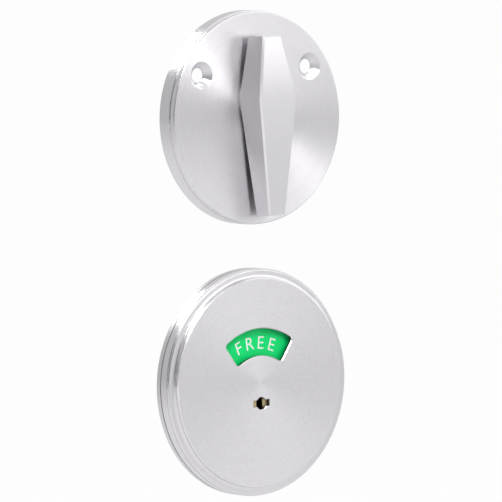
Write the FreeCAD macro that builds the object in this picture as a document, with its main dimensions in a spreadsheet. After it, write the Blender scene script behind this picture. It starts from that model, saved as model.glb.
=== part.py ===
"""Occupancy indicator set for a privacy lock: an inside thumb turn and an outside sign rose.

The two roses stand one above the other with their backs in one door plane, laid out as a set for view.
World frame: +X right, +Z up, both fronts face -Y, and the door face is the plane Y = 0.
The origin is where the outside rose's turning axis meets the door face.

Every piece is drawn upright in its own frame: x right, y up, z outward from the door. hang() then
stands it up in the world frame, on the centre or on the turning axis of one of the roses.
"""

import FreeCAD, Part
import math
import os
import re

import Sketcher
from FreeCAD import Placement, Rotation, Vector

SIZES = {
    # how the two halves are laid out
    "rose_spacing": 80.75,      # between the centres of the two roses
    "thumb_shift": 3.55,        # the thumb half's step to the right
    "axis_offset": 6.35,        # turning axis off each rose's centre
    "post_spread": 42.0,        # between the two fixing screws, and between the two posts
    "post_offset": 14.2,        # fixing screws and posts off the rose's centre
    # clearances
    "running_gap": 0.05,        # radial, shaft in bush
    "press_gap": 0.02,          # radial, where one piece is pressed or riveted into another
    "seat_gap": 0.1,            # axial, between a turning piece and a fixed one
    # inside rose
    "thumb_rose_dia": 65.2,
    "thumb_rose_depth": 6.85,
    "thumb_rose_face": 2.6,
    "thumb_rose_wall": 2.0,
    "thumb_rose_step": 4.9,     # door face to the fine step round the side
    "fine_step": 0.25,
    "face_round": 0.5,
    "rear_round": 0.3,
    "screw_hole_dia": 4.6,
    "countersink_dia": 8.4,
    # thumb lever
    "lever_up_reach": 18.7,
    "lever_down_reach": 35.95,
    "lever_mid_width": 14.5,
    "lever_up_width": 6.9,
    "lever_down_width": 6.3,
    "lever_mid_front": 10.2,    # front ridge above the back at the axis
    "lever_up_front": 8.2,
    "lever_down_front": 7.2,
    "lever_up_back": 1.05,      # back of each tip, lifted off the rose
    "lever_down_back": 0.95,
    "lever_chamfer": 0.55,
    # stem and its bush, washers and circlip
    "stem_dia": 9.9,
    "stem_tail": 1.3,           # stem behind its circlip
    "bush_wall": 1.05,
    "bush_flange_dia": 13.4,
    "bush_flange": 0.45,
    "washer_dia": 15.5,
    "washer_thick": 0.6,
    "bow_dia": 14.6,
    "bow_sheet": 0.25,
    "bow_rise": 0.35,           # how far the bowed washer stands proud of flat
    "clip_thick": 0.9,
    "clip_width": 1.5,
    "clip_gap": 2.6,
    "clip_lug_dia": 2.9,
    "clip_lug_hole": 1.1,
    "groove_depth": 0.45,
    # drive spindle
    "spindle_side": 5.0,
    "spindle_slack": 0.05,      # each side, in a square socket
    "spindle_reach": 28.0,      # behind the door face
    "spindle_entry": 9.0,       # into the stem
    "spindle_chamfer": 0.5,
    "cross_pin_dia": 2.0,
    "pin_chamfer": 0.2,
    # outside rose: base, upstand and cover
    "sign_rose_dia": 69.6,
    "sign_rose_depth": 7.45,
    "base_thick": 2.3,
    "base_round": 0.8,
    "upstand_wall": 1.6,
    "upstand_top": 5.0,
    "cover_rim": 2.15,          # the cover's side wall
    "cover_fit": 0.1,           # radial, cover over upstand
    "shadow_line": 0.35,        # open line between base and cover
    "shadow_line_deep": 0.65,
    "cover_step": 5.2,          # door face to the fine step round the side
    "cover_shoulder": 5.9,
    "shoulder_round": 0.45,
    "raised_face_inset": 2.75,  # radial, in from the rim
    "cove_round": 0.9,
    "raised_face_chamfer": 0.35,
    "sign_face_wall": 1.2,
    "cavity_inset": 4.45,       # radial, in from the rim
    "grub_dia": 2.5,
    "grub_height": 3.9,         # door face to the grub screw's axis
    "grub_recess": 0.3,
    "grub_socket": 1.3,         # across the flats
    "grub_socket_depth": 1.0,
    # window and release keyhole
    "window_inner": 14.6,
    "window_outer": 22.9,
    "window_angle": 70.0,
    "window_corner": 1.0,
    "window_chamfer": 0.3,
    "keyhole_dia": 3.8,
    "keyhole_slot_length": 6.4,
    "keyhole_slot_width": 2.0,
    "keyhole_chamfer": 0.2,
    "lens_thick": 0.8,
    "lens_margin": 1.5,         # lens beyond the window's curved edges
    "lens_margin_angle": 5.0,
    # threaded posts
    "post_dia": 7.0,
    "post_reach": 7.5,
    "post_seat": 0.4,           # recess in the base's back that each post stands in
    "post_neck_dia": 5.0,
    "post_head_dia": 8.0,
    "post_head": 1.0,
    "post_thread_dia": 3.3,
    "post_thread_depth": 7.0,
    # hub, its bush, fan and signs
    "hub_front_dia": 9.0,
    "hub_flange_dia": 18.0,
    "hub_flange": 1.2,
    "hub_journal_dia": 11.0,
    "hub_tail": 6.0,            # hub behind the door face
    "hub_slot_width": 2.4,
    "hub_slot_depth": 2.5,
    "hub_socket_depth": 8.4,
    "hub_bush_flange_dia": 15.4,
    "hub_bush_flange": 0.6,
    "fan_sheet": 0.8,
    "fan_radius": 24.3,
    "fan_core": 13.6,
    "fan_margin": 3.0,          # degrees of fan beyond each sign
    "sign_sheet": 0.2,
    "sign_gap": 0.2,            # lens to sign
    "sign_inner": 13.6,
    "sign_outer": 23.9,
    "sign_angle": 78.0,
    "sign_corner": 0.8,
    "rivet_dia": 1.6,
    "rivet_head_dia": 2.8,
    "rivet_head": 0.35,
    "rivet_circle": 6.6,
    "turn_angle": 90.0,
    "stop_pin_dia": 2.0,
    "stop_pin_circle": 11.0,
    "stop_play": 0.35,          # stop pin to the sides of its slot
    "stop_play_angle": 2.5,     # the same at each end of the turn
}

RIVETS = 3

# Places worked out from the sizes, in millimetres outward from the door face.
THUMB_FLOOR = "(thumb_rose_depth - thumb_rose_face)"
LEVER_BACK = "(thumb_rose_depth + bush_flange + seat_gap)"
BOW_HEIGHT = "(bow_rise + bow_sheet)"
CLIP_FRONT = f"({THUMB_FLOOR} - washer_thick - {BOW_HEIGHT} - 2 * seat_gap)"
STEM_REAR = f"({CLIP_FRONT} - clip_thick - stem_tail)"
PIN_HEIGHT = "(thumb_rose_depth - thumb_rose_face / 2)"
COVER_INSIDE = "(sign_rose_depth - sign_face_wall)"
LENS_REAR = f"({COVER_INSIDE} - lens_thick)"
SIGN_REAR = f"({LENS_REAR} - sign_gap - sign_sheet)"
FAN_REAR = f"({SIGN_REAR} - fan_sheet)"
HUB_SHOULDER = f"({FAN_REAR} - hub_flange)"

# Radii worked out from the sizes.
RIM = "(sign_rose_dia / 2)"
COVER_BORE = f"({RIM} - cover_rim)"
UPSTAND = f"({COVER_BORE} - cover_fit)"
HUB_BUSH_RADIUS = "(hub_journal_dia / 2 + running_gap + bush_wall)"

# Centres and turning axes of the two roses in the world, as (x, z).
THUMB_ROSE = ("thumb_shift", "rose_spacing + axis_offset")
THUMB_AXIS = ("thumb_shift", "rose_spacing + 2 * axis_offset")
SIGN_ROSE = ("0", "axis_offset")
SIGN_AXIS = ("0", "0")

WORDS = re.compile(r"\b(" + "|".join(sorted(SIZES, key=len, reverse=True)) + r")\b")
STAND_UP = Rotation(Vector(1, 0, 0), 90)
Z_AXIS = Vector(0, 0, 1)
ORIGIN_POINT = (-1, 1)
X_LINE, Y_LINE = -1, -2

doc = FreeCAD.newDocument("OccupancyIndicatorSet")
sheet = doc.addObject("Spreadsheet::Sheet", "Sizes")
for row, (alias, number) in enumerate(SIZES.items(), start=1):
    sheet.set(f"A{row}", alias)
    sheet.set(f"B{row}", str(number))
    sheet.setAlias(f"B{row}", alias)
doc.recompute()
subparts = []


# ---------------------------------------------------------------- sizes, expressions and places

def expression(text):
    """The text with each size's name turned into a reference to its cell."""
    return WORDS.sub(r"Sizes.\1", str(text))


def value(text):
    """The number that a size, or an expression of sizes, gives now."""
    result = sheet.evalExpression(expression(text))
    return float(getattr(result, "Value", result))


def bind(thing, **properties):
    """Ties properties of a document object to expressions of the sizes."""
    for name, text in properties.items():
        thing.setExpression(name, expression(text))
    return thing


def move(thing, x=0, y=0, z=0, turn=None):
    """Puts a building block at x, y, z of its piece's frame, after an optional Rotation."""
    thing.Placement = Placement(Vector(), turn or Rotation())
    for axis, text in (("x", x), ("y", y), ("z", z)):
        if text != 0:
            thing.setExpression("Placement.Base." + axis, expression(text))
    return thing


def hang(thing, label, centre, out=0, turn=None):
    """Names a finished sub-part and stands it up in the world, out from the door face."""
    thing.Label = label
    thing.Placement = Placement(Vector(), STAND_UP.multiply(turn or Rotation()))
    thing.setExpression("Placement.Base.x", expression(centre[0]))
    thing.setExpression("Placement.Base.y", expression(f"-({out})"))
    thing.setExpression("Placement.Base.z", expression(centre[1]))
    subparts.append(thing)


# ---------------------------------------------------------------- sketches

def blank_sketch(body, name, role, x=0, y=0, z=0, turn=0):
    """An empty sketch on one of the body's own planes, shifted and turned within that plane."""
    sketch = body.newObject("Sketcher::SketchObject", name)
    support = next(f for f in body.Origin.OriginFeatures if f.Role == role)
    sketch.AttachmentSupport = (support, [""])
    sketch.MapMode = "FlatFace"
    sketch.AttachmentOffset = Placement(Vector(), Rotation(Z_AXIS, turn))
    for axis, text in (("x", x), ("y", y), ("z", z)):
        if text != 0:
            sketch.setExpression("AttachmentOffset.Base." + axis, expression(text))
    return sketch


def tie(sketch, text, *arguments):
    """Adds a dimension to a sketch and ties it to an expression of the sizes."""
    index = sketch.addConstraint(Sketcher.Constraint(*arguments))
    sketch.setExpression(f"Constraints[{index}]", expression(text))


def pin_down(sketch, geometry, point, x, y):
    """Fixes one point of a sketch at x and y, which are expressions of the sizes."""
    here, origin = (geometry, point), ORIGIN_POINT
    for kind, text, line in (("DistanceX", x, Y_LINE), ("DistanceY", y, X_LINE)):
        distance = value(text)
        if abs(distance) < 1e-9:
            sketch.addConstraint(Sketcher.Constraint("PointOnObject", *here, line))
        elif distance > 0:
            tie(sketch, text, kind, *origin, *here, distance)
        else:
            tie(sketch, f"-({text})", kind, *here, *origin, -distance)


def polygon(body, name, corners, role="XY_Plane", **where):
    """A sketch of one closed outline with straight sides."""
    sketch = blank_sketch(body, name, role, **where)
    points = [Vector(value(x), value(y), 0) for x, y in corners]
    count = len(points)
    for i in range(count):
        sketch.addGeometry(Part.LineSegment(points[i], points[(i + 1) % count]), False)
    for i in range(count):
        sketch.addConstraint(Sketcher.Constraint("Coincident", i, 2, (i + 1) % count, 1))
    for i, (x, y) in enumerate(corners):
        pin_down(sketch, i, 1, x, y)
    return sketch


def rectangle(body, name, width, height, **where):
    """A sketch of a rectangle about its own origin."""
    half_width, half_height = f"({width}) / 2", f"({height}) / 2"
    return polygon(body, name, [(f"-{half_width}", f"-{half_height}"), (half_width, f"-{half_height}"),
                                (half_width, half_height), (f"-{half_width}", half_height)], **where)


def circles(body, name, dia, spots=((0, 0),), role="XY_Plane", **where):
    """A sketch of equal circles, each spot an (x, y) of expressions."""
    sketch = blank_sketch(body, name, role, **where)
    for i, (x, y) in enumerate(spots):
        centre = Vector(value(x), value(y), 0)
        sketch.addGeometry(Part.Circle(centre, Z_AXIS, value(dia) / 2), False)
        pin_down(sketch, i, 3, x, y)
        tie(sketch, dia, "Diameter", i, value(dia))
    return sketch


def arc_band(body, name, inner, outer, angle, **where):
    """A sketch of a slice of a ring about its own origin, symmetric about +y."""
    sketch = blank_sketch(body, name, "XY_Plane", **where)
    half = math.radians(value(angle) / 2)
    start, end = math.pi / 2 - half, math.pi / 2 + half
    near, far = value(inner), value(outer)

    def at(radius, direction):
        return Vector(radius * math.cos(direction), radius * math.sin(direction), 0)

    sketch.addGeometry(Part.ArcOfCircle(Part.Circle(Vector(), Z_AXIS, far), start, end), False)
    sketch.addGeometry(Part.LineSegment(at(far, end), at(near, end)), False)
    sketch.addGeometry(Part.ArcOfCircle(Part.Circle(Vector(), Z_AXIS, near), start, end), False)
    sketch.addGeometry(Part.LineSegment(at(near, start), at(far, start)), False)
    for joint in ((0, 2, 1, 1), (1, 2, 2, 2), (2, 1, 3, 1), (3, 2, 0, 1),
                  (0, 3, *ORIGIN_POINT), (2, 3, *ORIGIN_POINT)):
        sketch.addConstraint(Sketcher.Constraint("Coincident", *joint))
    for side in (1, 3):
        sketch.addConstraint(Sketcher.Constraint("PointOnObject", *ORIGIN_POINT, side))
    sketch.addConstraint(Sketcher.Constraint("Symmetric", 0, 1, 0, 2, Y_LINE))
    tie(sketch, outer, "Radius", 0, far)
    tie(sketch, inner, "Radius", 2, near)
    tie(sketch, f"(90 - ({angle}) / 2) * 1 deg", "Angle", 3, start)
    return sketch


# ---------------------------------------------------------------- PartDesign features

def new_body(name):
    return doc.addObject("PartDesign::Body", name)


def grow(body, sketch, length=None, turned=False):
    """Pads a sketch outward along z, or turns it about its own vertical axis."""
    if turned:
        feature = body.newObject("PartDesign::Revolution", sketch.Name + "_turned")
        feature.Profile = sketch
        feature.ReferenceAxis = (sketch, ["V_Axis"])
        feature.Angle = 360
    else:
        feature = body.newObject("PartDesign::Pad", sketch.Name + "_pad")
        feature.Profile = sketch
        bind(feature, Length=length)
    body.Tip = feature
    doc.recompute()


def remove(body, sketch, depth=None, forward=False, both_ways=False):
    """Pockets a sketch to a depth, or right through; it must take material away."""
    before = body.Tip.Shape.Volume
    feature = body.newObject("PartDesign::Pocket", sketch.Name + "_pocket")
    feature.Profile = sketch
    if depth is None:
        feature.Type = "ThroughAll"
    else:
        bind(feature, Length=depth)
    feature.Reversed = forward
    if both_ways:
        feature.SideType = "Symmetric"
    body.Tip = feature
    doc.recompute()
    if body.Tip.Shape.Volume > before - 1e-6:
        raise RuntimeError(f"{feature.Name} takes nothing away")


def edges(body, *tests):
    """Names of the edges whose sample points all pass every test."""
    found = []
    for number, edge in enumerate(body.Tip.Shape.Edges, start=1):
        points = edge.discretize(5)
        if all(test(point) for point in points for test in tests):
            found.append(f"Edge{number}")
    return found


def at_level(height):
    level = value(height)
    return lambda point: abs(point.z - level) < 1e-4


def at_radius(radius, y=0):
    size, centre = value(radius), value(y)
    return lambda point: abs(math.hypot(point.x, point.y - centre) - size) < 1e-4


def within(radius, y=0):
    size, centre = value(radius), value(y)
    return lambda point: math.hypot(point.x, point.y - centre) < size


def dress(body, kind, size, names):
    """Adds a Fillet or a Chamfer to the named edges."""
    if not names:
        raise RuntimeError(f"{body.Name}: no edge found for a {kind}")
    base = body.Tip
    feature = body.newObject("PartDesign::" + kind, f"{body.Name}_{kind}")
    feature.Base = (base, names)
    bind(feature, **{"Radius" if kind == "Fillet" else "Size": size})
    body.Tip = feature
    doc.recompute()


def round_ring(body, size, radius, height, kind="Fillet"):
    dress(body, kind, size, edges(body, at_radius(radius), at_level(height)))


def round_corners(body, size, radii, y=0):
    """Fillets the upright corner edges that stand at any of the radii about (0, y)."""
    sizes = [value(radius) for radius in radii]

    def corner(point):
        return any(abs(math.hypot(point.x, point.y - value(y)) - size) < 1e-4 for size in sizes)

    names = []
    for name in edges(body, corner):
        edge = body.Tip.Shape.getElement(name)
        if abs(edge.tangentAt(edge.FirstParameter).z) > 0.999:
            names.append(name)
    dress(body, "Fillet", size, names)


def turned(name, corners):
    """A body turned about z from corners given as (radius, z)."""
    body = new_body(name)
    grow(body, polygon(body, name + "_section", corners, role="XZ_Plane"), turned=True)
    return body


def ring(name, bore, dia, thick):
    return turned(name, [(f"({bore}) / 2", 0), (f"({dia}) / 2", 0), (f"({dia}) / 2", thick),
                         (f"({bore}) / 2", thick)])


# ---------------------------------------------------------------- Part primitives and booleans

def cylinder(name, dia, height, **where):
    made = doc.addObject("Part::Cylinder", name)
    return move(bind(made, Radius=f"({dia}) / 2", Height=height), **where)


def block(name, side, bottom, height):
    """A square bar about the z axis."""
    made = bind(doc.addObject("Part::Box", name), Length=side, Width=side, Height=height)
    return move(made, x=f"-({side}) / 2", y=f"-({side}) / 2", z=bottom)


def combine(name, kind, pieces):
    """A Part boolean of several objects: kind is MultiFuse, MultiCommon or Compound."""
    made = doc.addObject("Part::" + kind, name)
    if kind == "Compound":
        made.Links = pieces
    else:
        made.Shapes = pieces
    return made


def cut(name, base, tool):
    made = doc.addObject("Part::Cut", name)
    made.Base, made.Tool = base, tool
    return made


def bowed_washer(name, bore):
    """A thin spring washer bent to one gentle curve; it rests on its two sides at z = 0."""
    flat = ring(name + "_flat", bore, "bow_dia", f"{BOW_HEIGHT} + 1")
    bend = "((bow_dia / 2) ^ 2 + bow_rise ^ 2) / (2 * bow_rise)"
    lie = Rotation(Vector(1, 0, 0), 90)
    spot = {"y": "bow_dia / 2 + 1", "z": f"bow_rise - {bend}", "turn": lie}
    outside = cylinder(name + "_outside", f"2 * ({bend} + bow_sheet)", "bow_dia + 2", **spot)
    inside = cylinder(name + "_inside", f"2 * {bend}", "bow_dia + 2", **spot)
    sheet_metal = cut(name + "_sheet", outside, inside)
    return combine(name, "MultiCommon", [flat, sheet_metal])


# ---------------------------------------------------------------- inside half: the thumb turn

def make_thumb_rose():
    """A turned cup with a hole for the stem's bush and two countersunk fixing holes."""
    radius, inside = "thumb_rose_dia / 2", "thumb_rose_dia / 2 - thumb_rose_wall"
    neck = f"{radius} - fine_step"
    body = turned("ThumbRose", [
        (inside, 0), (radius, 0), (radius, "thumb_rose_step"), (neck, "thumb_rose_step"),
        (neck, "thumb_rose_depth"), (0, "thumb_rose_depth"), (0, THUMB_FLOOR), (inside, THUMB_FLOOR)])
    round_ring(body, "face_round", neck, "thumb_rose_depth")
    round_ring(body, "rear_round", radius, 0)
    remove(body, circles(body, "StemHole", "stem_dia + 2 * (running_gap + bush_wall + press_gap)",
                         [(0, "axis_offset")], z="thumb_rose_depth"))
    screws = [("-post_spread / 2", "post_offset"), ("post_spread / 2", "post_offset")]
    remove(body, circles(body, "ScrewHoles", "screw_hole_dia", screws, z="thumb_rose_depth"))
    for x, y in screws:
        dress(body, "Chamfer", "(countersink_dia - screw_hole_dia) / 2",
              [name for name in edges(body, at_level("thumb_rose_depth"))
               if abs(body.Tip.Shape.getElement(name).BoundBox.Center.x - value(x)) < 1e-4
               and abs(body.Tip.Shape.getElement(name).BoundBox.Center.y - value(y)) < 1e-4])
    hang(body, "thumb_rose", THUMB_ROSE)


def lever_blank():
    """The lever alone, as flat facets: two back planes, six sides, six chamfers and two front planes."""
    up, down = value("lever_up_reach"), value("lever_down_reach")
    middle, chamfer = value("lever_mid_width / 2"), value("lever_chamfer")
    back = value(LEVER_BACK)
    # For each end: its y, half width, and the heights of its front and its back.
    tips = [(up, value("lever_up_width / 2"), value("lever_up_front"), value("lever_up_back")),
            (-down, value("lever_down_width / 2"), value("lever_down_front"), value("lever_down_back"))]
    ridge = value("lever_mid_front")
    facets = []
    for y, half, front, lift in tips:
        inset_y = y - math.copysign(chamfer, y)
        share = inset_y / y
        rear = [(middle, 0, 0), (half, y, lift)]
        side = [(middle, 0, ridge - chamfer), (half, y, front - chamfer)]
        face = [(middle - chamfer, 0, ridge),
                (middle - chamfer + (half - middle) * share, inset_y, ridge + (front - ridge) * share)]
        for lower, upper in ((rear, side), (side, face)):
            for flip in (1, -1):
                facets.append([(flip * px, py, pz) for px, py, pz in (*lower, *reversed(upper))])
            facets.append([lower[1], upper[1], *((-px, py, pz) for px, py, pz in (upper[1], lower[1]))])
        for line in (rear, face):
            facets.append([*line, *((-px, py, pz) for px, py, pz in reversed(line))])
    faces = []
    for corners in facets:
        loop = [Vector(px, py, pz + back) for px, py, pz in corners]
        faces.append(Part.Face(Part.makePolygon(loop + loop[:1])))
    solid = Part.Solid(Part.Shell(faces))
    if solid.Volume < 0:
        solid.reverse()
    blank = doc.addObject("Part::Feature", "LeverBlank")
    blank.Shape = solid
    return blank


def make_thumb_lever():
    """The lever, its round stem with a circlip groove, the spindle's socket and the pin's hole."""
    stem, groove = "stem_dia / 2", "stem_dia / 2 - groove_depth"
    front, rear = f"{CLIP_FRONT} + press_gap", f"{CLIP_FRONT} - clip_thick - press_gap"
    root = f"{LEVER_BACK} + 2"
    shaft = turned("Stem", [
        (0, STEM_REAR), (stem, STEM_REAR), (stem, rear), (groove, rear), (groove, front),
        (stem, front), (stem, root), (0, root)])
    round_ring(shaft, "pin_chamfer", stem, STEM_REAR, "Chamfer")
    socket = block("StemSocket", "spindle_side + 2 * spindle_slack", f"{STEM_REAR} - 1", "spindle_entry + 1")
    pin_hole = cylinder("StemPinHole", "cross_pin_dia + 2 * press_gap", "stem_dia + 2",
                        x="-stem_dia / 2 - 1", z=PIN_HEIGHT, turn=Rotation(Vector(0, 1, 0), 90))
    lever = cut("ThumbLever", combine("LeverAndStem", "MultiFuse", [lever_blank(), shaft]),
                combine("LeverHoles", "MultiFuse", [socket, pin_hole]))
    hang(lever, "thumb_lever", THUMB_AXIS)


def make_thumb_bush():
    bore = "stem_dia / 2 + running_gap"
    outside = f"{bore} + bush_wall"
    body = turned("ThumbBush", [
        (bore, 0), (outside, 0), (outside, "thumb_rose_face"), ("bush_flange_dia / 2", "thumb_rose_face"),
        ("bush_flange_dia / 2", "thumb_rose_face + bush_flange"), (bore, "thumb_rose_face + bush_flange")])
    hang(body, "thumb_bush", THUMB_AXIS, out=THUMB_FLOOR)


def make_thumb_washers():
    bore = "stem_dia + 4 * running_gap"
    flat = ring("ThumbWasher", bore, "washer_dia", "washer_thick")
    hang(flat, "thumb_washer", THUMB_AXIS, out=f"{THUMB_FLOOR} - washer_thick")
    hang(bowed_washer("ThumbBowedWasher", bore), "thumb_bowed_washer", THUMB_AXIS,
         out=f"{CLIP_FRONT} + seat_gap")


def make_thumb_circlip():
    """An open ring with an eyed lug at each end of its gap."""
    bore = "stem_dia - 2 * groove_depth + 2 * press_gap"
    body = new_body("ThumbCirclip")
    grow(body, circles(body, "ClipRing", f"{bore} + 2 * clip_width"), "clip_thick")
    lug_x = "(clip_gap / 2 + clip_lug_dia / 2 - 0.2)"
    lug_y = f"-(({bore}) / 2 + clip_lug_dia / 2)"
    eyes = [(f"-{lug_x}", lug_y), (lug_x, lug_y)]
    for name, spot in zip(("ClipLeftLug", "ClipRightLug"), eyes):
        grow(body, circles(body, name, "clip_lug_dia", [spot]), "clip_thick")
    remove(body, circles(body, "ClipBore", bore, z="clip_thick"))
    remove(body, rectangle(body, "ClipGap", "clip_gap", "stem_dia", y="-stem_dia / 2 - 2", z="clip_thick"))
    remove(body, circles(body, "ClipEyes", "clip_lug_hole", eyes, z="clip_thick"))
    hang(body, "thumb_circlip", THUMB_AXIS, out=f"{CLIP_FRONT} - clip_thick")


def make_spindle():
    body = new_body("Spindle")
    length = f"(spindle_reach + {STEM_REAR} + spindle_entry - seat_gap)"
    grow(body, rectangle(body, "SpindleSquare", "spindle_side", "spindle_side"), length)
    for height in ("0", length):
        dress(body, "Chamfer", "spindle_chamfer", edges(body, at_level(height)))
    remove(body, circles(body, "SpindlePinHole", "cross_pin_dia + 2 * press_gap",
                         [(0, f"{PIN_HEIGHT} + spindle_reach")], role="YZ_Plane"), both_ways=True)
    hang(body, "drive_spindle", THUMB_AXIS, out="-spindle_reach")


def pin(name, dia, length):
    """A plain round pin with chamfered ends."""
    body = turned(name, [(0, 0), (f"{dia} / 2", 0), (f"{dia} / 2", length), (0, length)])
    for height in ("0", length):
        round_ring(body, "pin_chamfer", f"{dia} / 2", height, "Chamfer")
    return body


def make_cross_pin():
    length = "(stem_dia - 4 * running_gap)"
    cross = combine("CrossPin", "Compound", [
        move(pin("CrossPinTurned", "cross_pin_dia", length), x=f"-{length} / 2",
             turn=Rotation(Vector(0, 1, 0), 90))])
    hang(cross, "cross_pin", THUMB_AXIS, out=PIN_HEIGHT)


# ---------------------------------------------------------------- outside half: the sign rose

POSTS = [("-post_spread / 2", "-post_offset"), ("post_spread / 2", "-post_offset")]


def make_sign_base():
    """The flat base with an upstand for the cover, and seats for the hub's bush, posts and stop pin."""
    inside = f"{UPSTAND} - upstand_wall"
    body = turned("SignBase", [
        (0, 0), (RIM, 0), (RIM, "base_thick"), (UPSTAND, "base_thick"), (UPSTAND, "upstand_top"),
        (inside, "upstand_top"), (inside, "base_thick"), (0, "base_thick")])
    round_ring(body, "base_round", RIM, 0)
    axis = [(0, "-axis_offset")]
    remove(body, circles(body, "BushHole", f"2 * ({HUB_BUSH_RADIUS} + press_gap)", axis, z="base_thick"))
    remove(body, circles(body, "BushSeat", "hub_bush_flange_dia + 2 * cover_fit", axis, z="base_thick"),
           "hub_bush_flange")
    remove(body, circles(body, "PostHoles", "post_neck_dia + 2 * press_gap", POSTS, z="base_thick"))
    remove(body, circles(body, "PostSeats", "post_dia + 2 * cover_fit", POSTS), "post_seat", forward=True)
    remove(body, circles(body, "StopPinHole", "stop_pin_dia + 2 * press_gap",
                         [(0, "-axis_offset - stop_pin_circle")], z="base_thick"))
    hang(body, "sign_base", SIGN_ROSE)


def make_sign_cover():
    """The cover: a stepped rim, a cove up to the raised face, the window, the keyhole and grub hole."""
    line, seam = "base_thick + shadow_line", f"{RIM} - shadow_line_deep"
    shoulder, raised = f"{RIM} - fine_step", f"{RIM} - raised_face_inset"
    cavity, shelf = f"{RIM} - cavity_inset", "upstand_top + seat_gap"
    body = turned("SignCover", [
        (COVER_BORE, "base_thick"), (seam, "base_thick"), (seam, line), (RIM, line),
        (RIM, "cover_step"), (shoulder, "cover_step"), (shoulder, "cover_shoulder"),
        (raised, "cover_shoulder"), (raised, "sign_rose_depth"), (0, "sign_rose_depth"),
        (0, COVER_INSIDE), (cavity, COVER_INSIDE), (cavity, shelf), (COVER_BORE, shelf)])
    round_ring(body, "cove_round", raised, "cover_shoulder")
    round_ring(body, "shoulder_round", shoulder, "cover_shoulder")
    round_ring(body, "raised_face_chamfer", raised, "sign_rose_depth", "Chamfer")

    axis = {"y": "-axis_offset", "z": "sign_rose_depth"}
    remove(body, arc_band(body, "Window", "window_inner", "window_outer", "window_angle", **axis),
           "sign_face_wall + 0.5")
    round_corners(body, "window_corner", ["window_inner", "window_outer"], y="-axis_offset")
    remove(body, circles(body, "Keyhole", "keyhole_dia", **axis), "sign_face_wall + 0.5")
    remove(body, rectangle(body, "KeyholeSlot", "keyhole_slot_length", "keyhole_slot_width", **axis),
           "sign_face_wall + 0.5")
    front = at_level("sign_rose_depth")
    near_axis = within("keyhole_slot_length", y="-axis_offset")
    dress(body, "Chamfer", "keyhole_chamfer", edges(body, front, near_axis))
    not_far = within("window_outer + 0.1", y="-axis_offset")
    dress(body, "Chamfer", "window_chamfer",
          edges(body, front, not_far, lambda point: not near_axis(point)))
    remove(body, circles(body, "GrubHole", "grub_dia + 2 * press_gap", [(0, "grub_height")],
                         role="XZ_Plane", z=f"{UPSTAND} - 1"), forward=True)
    hang(body, "sign_cover", SIGN_ROSE)


def make_cover_grub_screw():
    """A headless screw with a six-sided socket, pointing up at the upstand from below."""
    length = "(cover_rim + cover_fit / 2 - grub_recess)"
    body = pin("CoverGrubScrew", "grub_dia", length)
    flat_radius = "grub_socket / sqrt(3)"
    corners = [(f"{flat_radius} * {math.cos(math.radians(a)):.6f}",
                f"{flat_radius} * {math.sin(math.radians(a)):.6f}") for a in range(0, 360, 60)]
    remove(body, polygon(body, "GrubSocket", corners, z=length), "grub_socket_depth")
    screw = combine("CoverGrubScrewInPlace", "Compound", [
        move(body, y=f"-{UPSTAND} - cover_fit / 2", turn=Rotation(Vector(1, 0, 0), 90))])
    hang(screw, "cover_grub_screw", SIGN_ROSE, out="grub_height")


def make_window_lens():
    body = new_body("WindowLens")
    grow(body, arc_band(body, "LensOutline", "window_inner - lens_margin", "window_outer + lens_margin",
                        "window_angle + 2 * lens_margin_angle"), "lens_thick")
    round_corners(body, "window_corner", ["window_inner - lens_margin", "window_outer + lens_margin"])
    hang(body, "window_lens", SIGN_AXIS, out=LENS_REAR)


def make_posts():
    """Two threaded posts, riveted through the base, that take the fixing screws from the far side."""
    thread, barrel, neck, head = (f"{word}_dia / 2" for word in
                                  ("post_thread", "post", "post_neck", "post_head"))
    posts = []
    for side, (x, y) in zip(("Left", "Right"), POSTS):
        body = turned(side + "Post", [
            (thread, "-post_reach"), (barrel, "-post_reach"), (barrel, "post_seat"), (neck, "post_seat"),
            (neck, "base_thick"), (head, "base_thick"), (head, "base_thick + post_head"),
            (0, "base_thick + post_head"), (0, "post_thread_depth - post_reach"),
            (thread, "post_thread_depth - post_reach")])
        round_ring(body, "rear_round", head, "base_thick + post_head")
        posts.append(move(body, x=x, y=y))
    hang(combine("Posts", "Compound", posts), "threaded_posts", SIGN_ROSE)


def make_hub_bush():
    bore = "hub_journal_dia / 2 + running_gap"
    rear, shelf = "seat_gap", "base_thick - hub_bush_flange"
    body = turned("HubBush", [
        (bore, rear), (HUB_BUSH_RADIUS, rear), (HUB_BUSH_RADIUS, shelf),
        ("hub_bush_flange_dia / 2", shelf), ("hub_bush_flange_dia / 2", "base_thick"),
        (bore, "base_thick")])
    hang(body, "hub_bush", SIGN_AXIS)


def make_release_hub():
    """The brass hub: a slot for a coin in front, a flange for the fan and a square socket behind."""
    front, flange, journal = (f"hub_{word}_dia / 2" for word in ("front", "flange", "journal"))
    top = f"{COVER_INSIDE} - seat_gap"
    body = turned("ReleaseHub", [
        (0, "-hub_tail"), (journal, "-hub_tail"), (journal, HUB_SHOULDER), (flange, HUB_SHOULDER),
        (flange, FAN_REAR), (front, FAN_REAR), (front, top), (0, top)])
    round_ring(body, "rear_round", journal, "-hub_tail", "Chamfer")
    round_ring(body, "pin_chamfer", front, top, "Chamfer")
    remove(body, rectangle(body, "HubSlot", "hub_slot_width", "hub_front_dia + 1", z=top), "hub_slot_depth")
    socket = "spindle_side + 2 * spindle_slack"
    remove(body, rectangle(body, "HubSocket", socket, socket, z="-hub_tail"), "hub_socket_depth",
           forward=True)
    remove(body, circles(body, "HubRivetHoles", "rivet_dia + 2 * press_gap", rivet_spots(), z=FAN_REAR),
           "hub_flange")
    hang(body, "release_hub", SIGN_AXIS)


def rivet_spots():
    angles = [math.radians(90 + 360 * i / RIVETS) for i in range(RIVETS)]
    return [(f"rivet_circle * {math.cos(a):.6f}", f"rivet_circle * {math.sin(a):.6f}") for a in angles]


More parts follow.
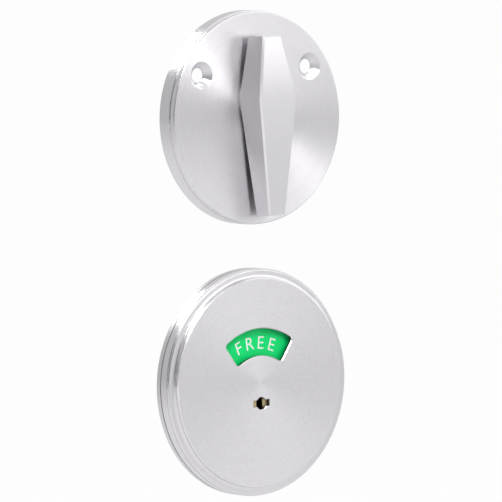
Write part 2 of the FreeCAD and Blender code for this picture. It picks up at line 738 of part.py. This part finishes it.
def make_fan():
    """The sign carrier: a disc with a wide fan for two signs, and a slot for the stop pin."""
    body = new_body("SignFan")
    grow(body, circles(body, "FanCore", "2 * fan_core"), "fan_sheet")
    spread = "turn_angle + sign_angle + 2 * fan_margin"
    grow(body, arc_band(body, "FanBlade", "hub_front_dia", "fan_radius", spread,
                        turn=value("turn_angle") / 2), "fan_sheet")
    round_corners(body, "sign_corner", ["fan_radius"])
    remove(body, circles(body, "FanBore", "hub_front_dia + 2 * press_gap", z="fan_sheet"))
    remove(body, circles(body, "FanRivetHoles", "rivet_dia + 2 * press_gap", rivet_spots(), z="fan_sheet"))
    slot_half = "(stop_pin_dia / 2 + stop_play)"
    end = math.degrees(value(slot_half) / value("stop_pin_circle"))
    sweep = f"turn_angle + 2 * stop_play_angle + {2 * end:.6f}"
    middle = 180 + value("turn_angle") / 2
    remove(body, arc_band(body, "StopSlot", f"stop_pin_circle - {slot_half}",
                          f"stop_pin_circle + {slot_half}", sweep, turn=middle, z="fan_sheet"))
    hang(body, "sign_fan", SIGN_AXIS, out=FAN_REAR)


def make_fan_rivets():
    shank, head = "rivet_dia / 2", "rivet_head_dia / 2"
    rivets = []
    for i, (x, y) in enumerate(rivet_spots()):
        body = turned(f"FanRivet{i + 1}", [
            (0, "-hub_flange"), (shank, "-hub_flange"), (shank, "fan_sheet"), (head, "fan_sheet"),
            (head, "fan_sheet + rivet_head"), (0, "fan_sheet + rivet_head")])
        round_ring(body, "pin_chamfer", head, "fan_sheet + rivet_head")
        rivets.append(move(body, x=x, y=y))
    hang(combine("FanRivets", "Compound", rivets), "fan_rivets", SIGN_AXIS, out=FAN_REAR)


def make_signs():
    """The two printed sign plates: free shows at rest, in use comes round after the turn."""
    for name, label, turn in (("FreeSign", "free_sign", 0), ("InUseSign", "in_use_sign", "turn_angle")):
        body = new_body(name)
        grow(body, arc_band(body, name + "Outline", "sign_inner", "sign_outer", "sign_angle"), "sign_sheet")
        round_corners(body, "sign_corner", ["sign_inner", "sign_outer"])
        hang(body, label, SIGN_AXIS, out=SIGN_REAR, turn=Rotation(Z_AXIS, value(turn)))


def make_stop_pin():
    length = f"({SIGN_REAR} - 3 * seat_gap)"
    body = pin("StopPin", "stop_pin_dia", length)
    placed = combine("StopPinInPlace", "Compound", [move(body, y="-stop_pin_circle", z="seat_gap")])
    hang(placed, "stop_pin", SIGN_AXIS)


def make_hub_bowed_washer():
    washer = bowed_washer("HubBowedWasher", "hub_journal_dia + 4 * running_gap")
    hang(washer, "hub_bowed_washer", SIGN_AXIS, out="base_thick")


# ---------------------------------------------------------------- build, check and export

for make in (make_thumb_rose, make_thumb_lever, make_thumb_bush, make_thumb_washers,
             make_thumb_circlip, make_spindle, make_cross_pin, make_sign_base, make_sign_cover,
             make_cover_grub_screw, make_window_lens, make_posts, make_hub_bush,
             make_hub_bowed_washer, make_release_hub, make_fan, make_fan_rivets, make_signs,
             make_stop_pin):
    make()
doc.recompute()

for thing in doc.Objects:
    if {"Invalid", "Error"} & set(thing.State):
        raise RuntimeError(f"{thing.Name} did not build: {thing.State}")

os.makedirs("parts", exist_ok=True)
for part in subparts:
    if part.Shape.isNull() or not part.Shape.isValid():
        raise RuntimeError(f"{part.Label} has no valid shape")
    part.Shape.exportStep(f"parts/{part.Label}.step")
    box = part.Shape.BoundBox
    print(f"{part.Label:20s} {part.Shape.Volume:9.1f} mm3  x {box.XMin:7.2f} {box.XMax:7.2f}"
          f"  y {box.YMin:7.2f} {box.YMax:7.2f}  z {box.ZMin:7.2f} {box.ZMax:7.2f}")
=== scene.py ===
"""Looks for a thumb turn and sign rose set: satin chrome, printed signs, a clear window, soft light."""

import math

import bmesh
import bpy
from mathutils import Matrix, Vector


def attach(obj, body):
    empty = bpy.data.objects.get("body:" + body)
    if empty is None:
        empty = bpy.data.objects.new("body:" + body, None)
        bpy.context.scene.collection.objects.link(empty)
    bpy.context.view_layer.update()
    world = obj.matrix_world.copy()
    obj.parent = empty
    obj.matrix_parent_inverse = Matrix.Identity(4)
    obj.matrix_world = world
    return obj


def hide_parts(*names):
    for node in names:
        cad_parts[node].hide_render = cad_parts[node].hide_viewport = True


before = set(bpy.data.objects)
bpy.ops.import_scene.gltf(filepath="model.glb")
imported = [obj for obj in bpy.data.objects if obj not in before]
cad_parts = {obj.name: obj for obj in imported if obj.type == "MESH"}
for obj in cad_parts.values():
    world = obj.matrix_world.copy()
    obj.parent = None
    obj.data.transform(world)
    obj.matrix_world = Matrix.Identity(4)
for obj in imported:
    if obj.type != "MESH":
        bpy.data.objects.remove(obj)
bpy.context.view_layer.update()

MM = 0.001
THUMB_ROSE = Vector((3.55, 0, 87.10)) * MM       # centre of the inside rose at the door face
THUMB_AXIS = Vector((3.55, 0, 93.45)) * MM       # what the lever turns about
SIGN_ROSE = Vector((0, 0, 6.35)) * MM            # centre of the outside rose at the door face
SIGN_AXIS = Vector((0, 0, 0))                    # what the sign turns about
SHARP = math.radians(28)                         # edges that turn more than this stay crisp


# ------------------------------------------------------------------ node helpers

def add(tree, kind, at, **settings):
    """A new node with properties and input defaults set by name."""
    node = tree.nodes.new(kind)
    node.location = at
    for name, setting in settings.items():
        if hasattr(node, name):
            setattr(node, name, setting)
        else:
            node.inputs[name.replace("_", " ")].default_value = setting
    return node


def join(tree, *pairs):
    """Links, each given as an output and the input that it feeds."""
    for out, into in pairs:
        tree.links.new(out, into)


def math_node(tree, operation, at, a, b=None, c=None):
    """A Math node whose inputs are sockets or plain numbers."""
    node = add(tree, "ShaderNodeMath", at, operation=operation)
    for socket, given in zip(node.inputs, (a, b, c)):
        if given is None:
            continue
        if isinstance(given, (int, float)):
            socket.default_value = given
        else:
            tree.links.new(given, socket)
    return node.outputs[0]


def new_group(name, inputs, outputs):
    """A shader node group. inputs and outputs are (name, socket type, default)."""
    group = bpy.data.node_groups.new(name, "ShaderNodeTree")
    for in_out, sockets in (("INPUT", inputs), ("OUTPUT", outputs)):
        for title, kind, default in sockets:
            socket = group.interface.new_socket(title, in_out=in_out, socket_type=kind)
            if default is not None:
                socket.default_value = default
    start = add(group, "NodeGroupInput", (-1200, 0))
    end = add(group, "NodeGroupOutput", (800, 0))
    return group, start, end


FLOAT, COLOUR, VECTOR = "NodeSocketFloat", "NodeSocketColor", "NodeSocketVector"
SCRATCH_INPUTS = [("Place", VECTOR, None), ("Metal", COLOUR, (0.8, 0.8, 0.8, 1)),
                  ("Scratch Depth", FLOAT, 0.02), ("Base Roughness", FLOAT, 0.3),
                  ("Roughness Spread", FLOAT, 0.1)]
SCRATCH_OUTPUTS = [("Metal Colour", COLOUR, None), ("Roughness", FLOAT, None), ("Normal", VECTOR, None)]


def close_scratch_group(group, start, end, shade, rough, height, bump_distance):
    """The end that both scratch groups share: the metal's shade, its roughness and a bump."""
    tint = add(group, "ShaderNodeVectorMath", (480, 160), operation="SCALE")
    bump = add(group, "ShaderNodeBump", (480, -200), Distance=bump_distance)
    join(group, (start.outputs["Metal"], tint.inputs[0]), (shade, tint.inputs["Scale"]),
         (start.outputs["Scratch Depth"], bump.inputs["Strength"]), (height, bump.inputs["Height"]),
         (tint.outputs[0], end.inputs["Metal Colour"]), (rough, end.inputs["Roughness"]),
         (bump.outputs[0], end.inputs["Normal"]))


def make_brushing_group():
    """Fine scratches along circles about the y axis of the place it is given.

    Beyond Rim Start from the axis the metal is smoother by Rim Polish. Nearer than that, what lies
    deeper than Recess Depth is darkened to Recess Shade.
    """
    group, start, end = new_group("circular brushing", SCRATCH_INPUTS + [
        ("Scratch Contrast", FLOAT, 0.1), ("Rim Start", FLOAT, 1.0), ("Rim Polish", FLOAT, 0.0),
        ("Recess Depth", FLOAT, 1.0), ("Recess Shade", FLOAT, 0.15)], SCRATCH_OUTPUTS)
    parts = add(group, "ShaderNodeSeparateXYZ", (-1000, 0))
    join(group, (start.outputs["Place"], parts.inputs[0]))
    x, y, z = parts.outputs
    squares = math_node(group, "ADD", (-820, 60), math_node(group, "MULTIPLY", (-900, 120), x, x),
                        math_node(group, "MULTIPLY", (-900, 0), z, z))
    radius = math_node(group, "SQRT", (-640, 60), squares)
    angle = math_node(group, "ARCTAN2", (-640, -120), x, z)
    place = add(group, "ShaderNodeCombineXYZ", (-420, 0))
    join(group, (math_node(group, "MULTIPLY", (-520, 100), radius, 1000), place.inputs[0]),
         (math_node(group, "MULTIPLY", (-520, 0), y, 1000), place.inputs[1]),
         (math_node(group, "MULTIPLY", (-520, -140), angle, 1.6), place.inputs[2]))
    fine = add(group, "ShaderNodeTexNoise", (-220, 120), Scale=3.0, Detail=4.0, Roughness=0.75)
    broad = add(group, "ShaderNodeTexNoise", (-220, -160), Scale=0.9, Detail=2.0, Roughness=0.5)
    join(group, (place.outputs[0], fine.inputs["Vector"]), (place.outputs[0], broad.inputs["Vector"]))
    mixed = math_node(group, "ADD", (0, 0),
                      math_node(group, "MULTIPLY", (-60, 60), fine.outputs[0], 0.75),
                      math_node(group, "MULTIPLY", (-60, -80), broad.outputs[0], 0.25))
    centred = math_node(group, "SUBTRACT", (120, 0), mixed, 0.5)
    worn = math_node(group, "MULTIPLY_ADD", (240, -60), centred, start.outputs["Roughness Spread"],
                     start.outputs["Base Roughness"])
    rim = math_node(group, "GREATER_THAN", (120, -260), radius, start.outputs["Rim Start"])
    rough = math_node(group, "SUBTRACT", (420, -60), worn,
                      math_node(group, "MULTIPLY", (280, -260), rim, start.outputs["Rim Polish"]))
    scratched = math_node(group, "MULTIPLY_ADD", (300, 160), centred,
                          start.outputs["Scratch Contrast"], 1.0)
    recessed = math_node(group, "MULTIPLY", (120, 300),
                         math_node(group, "SUBTRACT", (0, 340), 1.0, rim),
                         math_node(group, "GREATER_THAN", (0, 240), y, start.outputs["Recess Depth"]))
    shaded = add(group, "ShaderNodeMix", (300, 300), A=1.0)
    join(group, (recessed, shaded.inputs["Factor"]),
         (start.outputs["Recess Shade"], shaded.inputs["B"]))
    shade = math_node(group, "MULTIPLY", (420, 220), scratched, shaded.outputs["Result"])
    close_scratch_group(group, start, end, shade, rough, mixed, 0.04 * MM)
    return group


def make_grain_group():
    """Fine scratches along one direction of the place it is given, its z."""
    group, start, end = new_group("straight grain", SCRATCH_INPUTS + [("Grain Length", FLOAT, 0.05)],
                                  SCRATCH_OUTPUTS)
    squash = add(group, "ShaderNodeCombineXYZ", (-1000, -120), X=1.0, Y=1.0)
    stretch = add(group, "ShaderNodeVectorMath", (-800, 0), operation="MULTIPLY")
    noise = add(group, "ShaderNodeTexNoise", (-560, 0), Scale=4200.0, Detail=3.0, Roughness=0.65)
    join(group, (start.outputs["Grain Length"], squash.inputs["Z"]),
         (start.outputs["Place"], stretch.inputs[0]), (squash.outputs[0], stretch.inputs[1]),
         (stretch.outputs[0], noise.inputs["Vector"]))
    centred = math_node(group, "SUBTRACT", (-300, 0), noise.outputs[0], 0.5)
    rough = math_node(group, "MULTIPLY_ADD", (-60, -80), centred, start.outputs["Roughness Spread"],
                      start.outputs["Base Roughness"])
    shade = math_node(group, "MULTIPLY_ADD", (-60, 120), centred, 0.12, 1.0)
    close_scratch_group(group, start, end, shade, rough, noise.outputs[0], 0.02 * MM)
    return group


BRUSHING = make_brushing_group()
GRAIN = make_grain_group()


def new_material(name, **shader):
    """A material whose uniform values are set on its Principled shader, and the place on its piece."""
    material = bpy.data.materials.new(name)
    material.use_nodes = True
    tree = material.node_tree
    principled = tree.nodes["Principled BSDF"]
    for title, setting in shader.items():
        principled.inputs[title.replace("_", " ")].default_value = setting
    where = add(tree, "ShaderNodeTexCoord", (-1100, 0))
    mapping = add(tree, "ShaderNodeMapping", (-900, 0))
    join(tree, (where.outputs["Object"], mapping.inputs["Vector"]))
    return material, tree, principled, mapping


def add_finish(tree, group, colour, mapping, principled, **settings):
    """A scratch group that gives the shader its roughness and normal. Its colour is left to join."""
    finish = add(tree, "ShaderNodeGroup", (-500, 0))
    finish.node_tree = group
    finish.inputs["Metal"].default_value = (*colour, 1)
    for title, setting in settings.items():
        finish.inputs[title.replace("_", " ")].default_value = setting
    join(tree, (mapping.outputs[0], finish.inputs["Place"]),
         (finish.outputs["Roughness"], principled.inputs["Roughness"]),
         (finish.outputs["Normal"], principled.inputs["Normal"]))
    return finish


def brushed_metal(name, group, colour, centre=(0, 0, 0), anisotropic=0.0, **settings):
    """A metal finished by a scratch group. An anisotropic one shines across circular scratches."""
    material, tree, principled, mapping = new_material(name, Metallic=1.0, Anisotropic=anisotropic)
    mapping.inputs["Location"].default_value = -Vector(centre)
    finish = add_finish(tree, group, colour, mapping, principled, **settings)
    join(tree, (finish.outputs["Metal Colour"], principled.inputs["Base Color"]))
    if anisotropic:  # the tangent runs across the scratches, away from the axis
        along = add(tree, "ShaderNodeVectorMath", (-700, -300), operation="CROSS_PRODUCT")
        along.inputs[0].default_value = (0, 1, 0)
        turned = add(tree, "ShaderNodeVectorTransform", (-500, -300), vector_type="VECTOR",
                     convert_from="OBJECT", convert_to="WORLD")
        across = add(tree, "ShaderNodeVectorMath", (-300, -300), operation="CROSS_PRODUCT")
        surface = add(tree, "ShaderNodeNewGeometry", (-500, -500))
        join(tree, (mapping.outputs[0], along.inputs[1]), (along.outputs[0], turned.inputs[0]),
             (turned.outputs[0], across.inputs[0]), (surface.outputs["Normal"], across.inputs[1]),
             (across.outputs[0], principled.inputs["Tangent"]))
    return material


def printed(name, colour):
    """Printed ink on a thin plate: a slight mottle and a soft shine."""
    material, tree, principled, mapping = new_material(name, Specular_IOR_Level=0.2)
    mottle = add(tree, "ShaderNodeTexNoise", (-600, 0), Scale=900.0, Detail=3.0)
    tone = add(tree, "ShaderNodeMix", (-300, 100), data_type="RGBA")
    tone.inputs["A"].default_value = (*(0.93 * c for c in colour), 1)
    tone.inputs["B"].default_value = (*colour, 1)
    join(tree, (mapping.outputs[0], mottle.inputs["Vector"]), (mottle.outputs[0], tone.inputs["Factor"]),
         (tone.outputs["Result"], principled.inputs["Base Color"]),
         (math_node(tree, "MULTIPLY_ADD", (-300, -150), mottle.outputs[0], 0.1, 0.35),
          principled.inputs["Roughness"]))
    return material


def turned_brass():
    """Brass with painted shade down inside its slot, and its full brightness again behind the slot."""
    material, tree, principled, mapping = new_material("turned brass", Metallic=1.0)
    finish = add_finish(tree, BRUSHING, (0.52, 0.42, 0.25), mapping, principled,
                        Scratch_Depth=0.2, Base_Roughness=0.34)
    depth = add(tree, "ShaderNodeSeparateXYZ", (-700, -300))
    # painted shade: the brass colour is darkened down inside the slot and back to full behind it
    slot = add(tree, "ShaderNodeMapRange", (-500, -300), From_Min=-6.1 * MM, From_Max=-5.2 * MM,
               To_Min=1.0, To_Max=0.04)
    behind = add(tree, "ShaderNodeMapRange", (-500, -550), From_Min=-2.6 * MM, From_Max=-1.6 * MM)
    slot_shaded_colour = add(tree, "ShaderNodeVectorMath", (-250, 0), operation="SCALE")
    join(tree, (mapping.outputs[0], depth.inputs[0]), (depth.outputs["Y"], slot.inputs["Value"]),
         (depth.outputs["Y"], behind.inputs["Value"]),
         (finish.outputs["Metal Colour"], slot_shaded_colour.inputs[0]),
         (math_node(tree, "MAXIMUM", (-320, -400), slot.outputs[0], behind.outputs[0]),
          slot_shaded_colour.inputs["Scale"]), (slot_shaded_colour.outputs[0], principled.inputs["Base Color"]))
    return material


def moulded_nylon():
    """Off-white nylon with a fine grain."""
    material, tree, principled, mapping = new_material("moulded nylon", Subsurface_Weight=0.1)
    grain = add(tree, "ShaderNodeTexNoise", (-600, 0), Scale=1500.0, Detail=4.0)
    tone = add(tree, "ShaderNodeMix", (-300, 100), data_type="RGBA")
    tone.inputs["A"].default_value = (0.72, 0.70, 0.64, 1)
    tone.inputs["B"].default_value = (0.80, 0.78, 0.73, 1)
    bump = add(tree, "ShaderNodeBump", (-300, -250), Strength=0.2, Distance=0.03 * MM)
    join(tree, (mapping.outputs[0], grain.inputs["Vector"]), (grain.outputs[0], tone.inputs["Factor"]),
         (tone.outputs["Result"], principled.inputs["Base Color"]),
         (grain.outputs[0], bump.inputs["Height"]), (bump.outputs[0], principled.inputs["Normal"]),
         (math_node(tree, "MULTIPLY_ADD", (-300, -80), grain.outputs[0], 0.15, 0.4),
          principled.inputs["Roughness"]))
    return material


def clear_window():
    """Clear plastic, seen only by its faint shine and smears."""
    material, tree, principled, mapping = new_material("clear window", Base_Color=(0.04, 0.06, 0.05, 1))
    smears = add(tree, "ShaderNodeTexNoise", (-600, 0), Scale=260.0, Detail=4.0)
    join(tree, (mapping.outputs[0], smears.inputs["Vector"]),
         (math_node(tree, "MULTIPLY_ADD", (-300, 0), smears.outputs[0], 0.1, 0.05),
          principled.inputs["Roughness"]),
         (math_node(tree, "MULTIPLY_ADD", (-300, -200), smears.outputs[0], 0.03, 0.02),
          principled.inputs["Alpha"]))
    return material


SATIN = (0.80, 0.785, 0.81)
FINISHES = {
    "inside rose satin": brushed_metal("inside rose satin", BRUSHING, SATIN, THUMB_ROSE, 0.85,
                                       Scratch_Depth=0.7, Scratch_Contrast=0.25, Base_Roughness=0.34,
                                       Roughness_Spread=0.2, Rim_Start=0.0322, Rim_Polish=0.12),
    "lever satin": brushed_metal("lever satin", GRAIN, SATIN, THUMB_AXIS, Grain_Length=0.02,
                                 Scratch_Depth=0.25, Base_Roughness=0.30, Roughness_Spread=0.12),
    "outside rose satin": brushed_metal("outside rose satin", BRUSHING, SATIN, SIGN_ROSE, 0.5,
                                        Scratch_Depth=0.04, Base_Roughness=0.28, Roughness_Spread=0.08,
                                        Rim_Start=0.0318, Rim_Polish=0.05, Recess_Depth=-7.16 * MM),
    "cast zinc": brushed_metal("cast zinc", BRUSHING, (0.74, 0.73, 0.75), SIGN_ROSE, Scratch_Depth=0.15,
                               Base_Roughness=0.30, Roughness_Spread=0.12),
    "bright zinc": brushed_metal("bright zinc", GRAIN, (0.66, 0.66, 0.68), Grain_Length=0.3,
                                 Scratch_Depth=0.3, Base_Roughness=0.36, Roughness_Spread=0.2),
    "spring steel": brushed_metal("spring steel", GRAIN, (0.30, 0.30, 0.32), Grain_Length=0.4,
                                  Scratch_Depth=0.3, Base_Roughness=0.34, Roughness_Spread=0.2),
    "turned brass": turned_brass(),
    "moulded nylon": moulded_nylon(),
    "clear window": clear_window(),
    "green ink": printed("green ink", (0.0, 0.84, 0.20)),
    "red ink": printed("red ink", (0.62, 0.02, 0.02)),
    "white ink": printed("white ink", (1.0, 1.0, 1.0)),
}
NODE_FINISH = {
    "thumb_rose": "inside rose satin", "thumb_lever": "lever satin", "thumb_bush": "moulded nylon",
    "thumb_washer": "bright zinc", "thumb_bowed_washer": "spring steel",
    "thumb_circlip": "spring steel", "drive_spindle": "bright zinc", "cross_pin": "bright zinc",
    "sign_base": "cast zinc", "sign_cover": "outside rose satin", "cover_grub_screw": "spring steel",
    "window_lens": "clear window", "threaded_posts": "bright zinc", "hub_bush": "moulded nylon",
    "hub_bowed_washer": "spring steel", "release_hub": "turned brass", "sign_fan": "bright zinc",
    "fan_rivets": "bright zinc", "free_sign": "green ink", "in_use_sign": "red ink",
    "stop_pin": "spring steel",
}
# Pieces that show are redrawn with cleaner shading: (width of the rounded edges in mm, body).
# A width of 0 keeps the edges sharp. The rest keep their plain CAD mesh.
EASED_EDGES = {"thumb_rose": (0, "roses"), "thumb_lever": (0.13, "thumb_turn"),
               "sign_base": (0, "roses"), "sign_cover": (0, "roses"),
               "release_hub": (0, "sign_dial"), "drive_spindle": (0.08, "thumb_turn")}


def finish_mesh(obj, material):
    """Give an object's mesh this one material."""
    obj.data.materials.clear()
    obj.data.materials.append(material)


def ease_edges(node, width, body):
    """A copy of a CAD node with smooth curves, and sharp edges kept or rounded to a width in mm."""
    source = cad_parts[node]
    mesh = source.data.copy()
    mesh.name = node + "_eased"
    work = bmesh.new()
    work.from_mesh(mesh)
    bmesh.ops.remove_doubles(work, verts=work.verts, dist=0.001 * MM)
    if width:
        bmesh.ops.dissolve_limit(work, angle_limit=math.radians(0.3), verts=work.verts,
                                 edges=work.edges)
    else:
        bmesh.ops.join_triangles(work, faces=work.faces, angle_face_threshold=math.radians(1.5),
                                 angle_shape_threshold=math.radians(180))
        for edge in work.edges:
            edge.smooth = edge.calc_face_angle(0) < SHARP
    for face in work.faces:
        face.smooth = True
    work.to_mesh(mesh)
    work.free()
    if "custom_normal" in mesh.attributes:      # they belong to the faces before they were joined
        mesh.attributes.remove(mesh.attributes["custom_normal"])
    piece = bpy.data.objects.new(node + "_eased", mesh)
    bpy.context.scene.collection.objects.link(piece)
    if width:
        bevel = piece.modifiers.new("eased edges", "BEVEL")
        bevel.width = width * MM
        bevel.segments = 3
        bevel.limit_method = "ANGLE"
        bevel.angle_limit = SHARP
        bevel.harden_normals = True
    even = piece.modifiers.new("even shading", "WEIGHTED_NORMAL")
    even.keep_sharp = True
    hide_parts(node)
    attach(piece, body)
    return piece


for node, finish in NODE_FINISH.items():
    finish_mesh(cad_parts[node], FINISHES[finish])
for node, (width, body) in EASED_EDGES.items():
    finish_mesh(ease_edges(node, width, body), FINISHES[NODE_FINISH[node]])


# ------------------------------------------------------------------ printed words

# All in mm.
LETTER_HEIGHT = 3.9
CAPITAL_SHARE = 0.69                             # a capital's height over the typeface's size
LETTER_MIDDLE = 18.5                             # radius that the middle of the letters runs on
LETTER_HALF_THICK = 0.012
LETTER_THINNING = 0.03                           # taken off each side of a stroke
SIGN_FRONT = 5.25                                # how far the plates' fronts stand before the door
INK_GAP = 0.001                                  # between a plate and the backs of its letters


def curved_word(name, word, middle, pitch):
    """Thin raised letters on an arc about the sign's axis, middle degrees round from the top."""
    whole = bmesh.new()
    for i, letter in enumerate(word):
        if letter == " ":
            continue
        text = bpy.data.curves.new(name + letter, "FONT")
        text.body = letter
        text.align_x = "CENTER"
        text.size = LETTER_HEIGHT / CAPITAL_SHARE * MM
        text.extrude = LETTER_HALF_THICK * MM
        text.offset = -LETTER_THINNING * MM
        holder = bpy.data.objects.new(name + letter, text)
        bpy.context.scene.collection.objects.link(holder)
        bpy.context.view_layer.update()
        mesh = bpy.data.meshes.new_from_object(holder)
        bpy.data.objects.remove(holder)
        turn = math.radians(middle - (i - (len(word) - 1) / 2) * pitch)
        out = -SIGN_FRONT - INK_GAP - LETTER_HALF_THICK
        place = (Matrix.Translation(SIGN_AXIS + Vector((0, out, 0)) * MM)
                 @ Matrix.Rotation(-turn, 4, "Y") @ Matrix.Rotation(math.radians(90), 4, "X")
                 @ Matrix.Translation(Vector((0, LETTER_MIDDLE - LETTER_HEIGHT / 2, 0)) * MM))
        mesh.transform(place)
        whole.from_mesh(mesh)
    mesh = bpy.data.meshes.new(name)
    bmesh.ops.remove_doubles(whole, verts=whole.verts, dist=0.0001 * MM)
    whole.to_mesh(mesh)
    whole.free()
    piece = bpy.data.objects.new(name, mesh)
    bpy.context.scene.collection.objects.link(piece)
    finish_mesh(piece, FINISHES["white ink"])
    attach(piece, "sign_dial")


curved_word("free_word", "FREE", 0, 13.5)
curved_word("in_use_word", "IN USE", 90, 11.5)


# ------------------------------------------------------------------ floor, light and camera

FLOOR_LEVEL = -0.16
FLOOR_HALF_SIDE = 6.0
SET_MIDDLE = Vector((0, 0, 0.045))               # what the lamps face
LAMP_DISTANCE = 0.9


def make_floor():
    """A wide pale floor well below the set; it shows white to the camera and keeps a soft shadow."""
    work = bmesh.new()
    bmesh.ops.create_grid(work, x_segments=1, y_segments=1, size=FLOOR_HALF_SIDE)
    bmesh.ops.translate(work, verts=work.verts, vec=(0, 0, FLOOR_LEVEL))
    mesh = bpy.data.meshes.new("floor")
    work.to_mesh(mesh)
    work.free()
    floor = bpy.data.objects.new("floor", mesh)
    bpy.context.scene.collection.objects.link(floor)
    material = bpy.data.materials.new("pale floor")
    material.use_nodes = True
    tree = material.node_tree
    tree.nodes["Principled BSDF"].inputs["Base Color"].default_value = (0.70, 0.70, 0.71, 1)
    tree.nodes["Principled BSDF"].inputs["Roughness"].default_value = 0.9
    glow = add(tree, "ShaderNodeEmission", (0, -200), Color=(1, 1, 1, 1), Strength=1.0)
    path = add(tree, "ShaderNodeLightPath", (-400, 300))
    seen = math_node(tree, "MAXIMUM", (-250, 300), path.outputs["Is Camera Ray"],
                     math_node(tree, "MULTIPLY", (-350, 200), path.outputs["Is Glossy Ray"], 0.2))
    mix = add(tree, "ShaderNodeMixShader", (200, 0))
    join(tree, (math_node(tree, "MULTIPLY", (-100, 300), seen, 0.96), mix.inputs[0]),
         (tree.nodes["Principled BSDF"].outputs[0], mix.inputs[1]), (glow.outputs[0], mix.inputs[2]),
         (mix.outputs[0], tree.nodes["Material Output"].inputs["Surface"]))
    finish_mesh(floor, material)


def make_world():
    """White to the camera. The metal sees white in front, grey behind and a dark patch front left."""
    world = bpy.data.worlds.new("studio")
    bpy.context.scene.world = world
    world.use_nodes = True
    tree = world.node_tree
    tree.nodes.clear()
    where = add(tree, "ShaderNodeTexCoord", (-1000, 0))

    def facing(direction, at, stops):
        """Grey levels by how nearly a ray runs along a direction."""
        toward = add(tree, "ShaderNodeVectorMath", at, operation="DOT_PRODUCT")
        toward.inputs[1].default_value = Vector(direction).normalized()
        shades = add(tree, "ShaderNodeValToRGB", (at[0] + 400, at[1]))
        ramp = shades.color_ramp
        ramp.interpolation = "EASE"
        while len(ramp.elements) < len(stops):
            ramp.elements.new(0.5)
        for element, (position, grey) in zip(ramp.elements, stops):
            element.position, element.color = position, (grey, grey, grey, 1)
        join(tree, (where.outputs["Generated"], toward.inputs[0]),
             (math_node(tree, "MULTIPLY_ADD", (at[0] + 200, at[1]), toward.outputs["Value"], 0.5, 0.5),
              shades.inputs["Fac"]))
        return shades.outputs["Color"]

    front = facing((0.62, -0.78, 0.0), (-800, 0), [(0.0, 0.50), (0.42, 0.68), (0.92, 1.36)])
    patch = facing((-0.62, -0.78, -0.25), (-800, -300), [(0.62, 1.0), (0.93, 0.02)])
    tone = add(tree, "ShaderNodeMix", (-200, -100), data_type="RGBA", blend_type="MULTIPLY")
    tone.inputs["Factor"].default_value = 1.0
    room = add(tree, "ShaderNodeBackground", (0, 0), Strength=1.0)
    white = add(tree, "ShaderNodeBackground", (0, -200), Color=(1, 1, 1, 1), Strength=1.0)
    path = add(tree, "ShaderNodeLightPath", (-500, 400))
    glossy = math_node(tree, "MULTIPLY", (-450, 300), path.outputs["Is Glossy Ray"], 0.1)
    through = math_node(tree, "MAXIMUM", (-300, 300), path.outputs["Is Transmission Ray"], glossy)
    seen = math_node(tree, "MAXIMUM", (-150, 300), path.outputs["Is Camera Ray"], through)
    mix = add(tree, "ShaderNodeMixShader", (200, 0))
    output = add(tree, "ShaderNodeOutputWorld", (400, 0))
    join(tree, (front, tone.inputs["A"]), (patch, tone.inputs["B"]),
         (tone.outputs["Result"], room.inputs["Color"]), (seen, mix.inputs[0]),
         (room.outputs[0], mix.inputs[1]), (white.outputs[0], mix.inputs[2]),
         (mix.outputs[0], output.inputs["Surface"]))


def softbox(name, toward, width, height, power):
    """A rectangular area light that faces the middle of the set."""
    data = bpy.data.lights.new(name, "AREA")
    data.shape = "RECTANGLE"
    data.size, data.size_y = width, height
    data.energy = power
    lamp = bpy.data.objects.new(name, data)
    bpy.context.scene.collection.objects.link(lamp)
    direction = Vector(toward).normalized()
    lamp.location = SET_MIDDLE + direction * LAMP_DISTANCE
    lamp.rotation_mode = "QUATERNION"
    lamp.rotation_quaternion = (-direction).to_track_quat("-Z", "Y")


def make_camera():
    """Far off to the left and a little above, as a long lens sees the set."""
    azimuth, elevation, roll = (math.radians(angle) for angle in (-38.5, 5.3, -2.4))
    away, beside, above = 1.5, 1.591 * MM, 39.80 * MM   # from the outside rose's centre, in the view
    back = Vector((math.sin(azimuth) * math.cos(elevation), -math.cos(azimuth) * math.cos(elevation),
                   math.sin(elevation)))
    level = Vector((math.cos(azimuth), math.sin(azimuth), 0))
    upright = back.cross(level)
    right = math.cos(roll) * level + math.sin(roll) * upright
    up = -math.sin(roll) * level + math.cos(roll) * upright
    data = bpy.data.cameras.new("camera")
    data.lens = 351.6
    data.clip_start, data.clip_end = 0.05, 30
    camera = bpy.data.objects.new("camera", data)
    bpy.context.scene.collection.objects.link(camera)
    place = SIGN_ROSE + away * back + beside * right + above * up
    turn = Matrix((right, up, back)).transposed().to_4x4()
    camera.matrix_world = Matrix.Translation(place) @ turn
    bpy.context.scene.camera = camera


make_floor()
make_world()
softbox("key light", (-0.35, -0.62, 0.70), 0.30, 0.30, 4)
softbox("edge light", (-0.78, -0.62, 0.22), 0.04, 1.10, 0.5)
softbox("rim light", (-0.09, 0.78, 0.62), 0.35, 0.35, 1.5)
softbox("front light", (0.30, -0.91, 0.29), 0.12, 0.12, 0.45)
make_camera()
bpy.context.scene.view_settings.view_transform = "Standard"
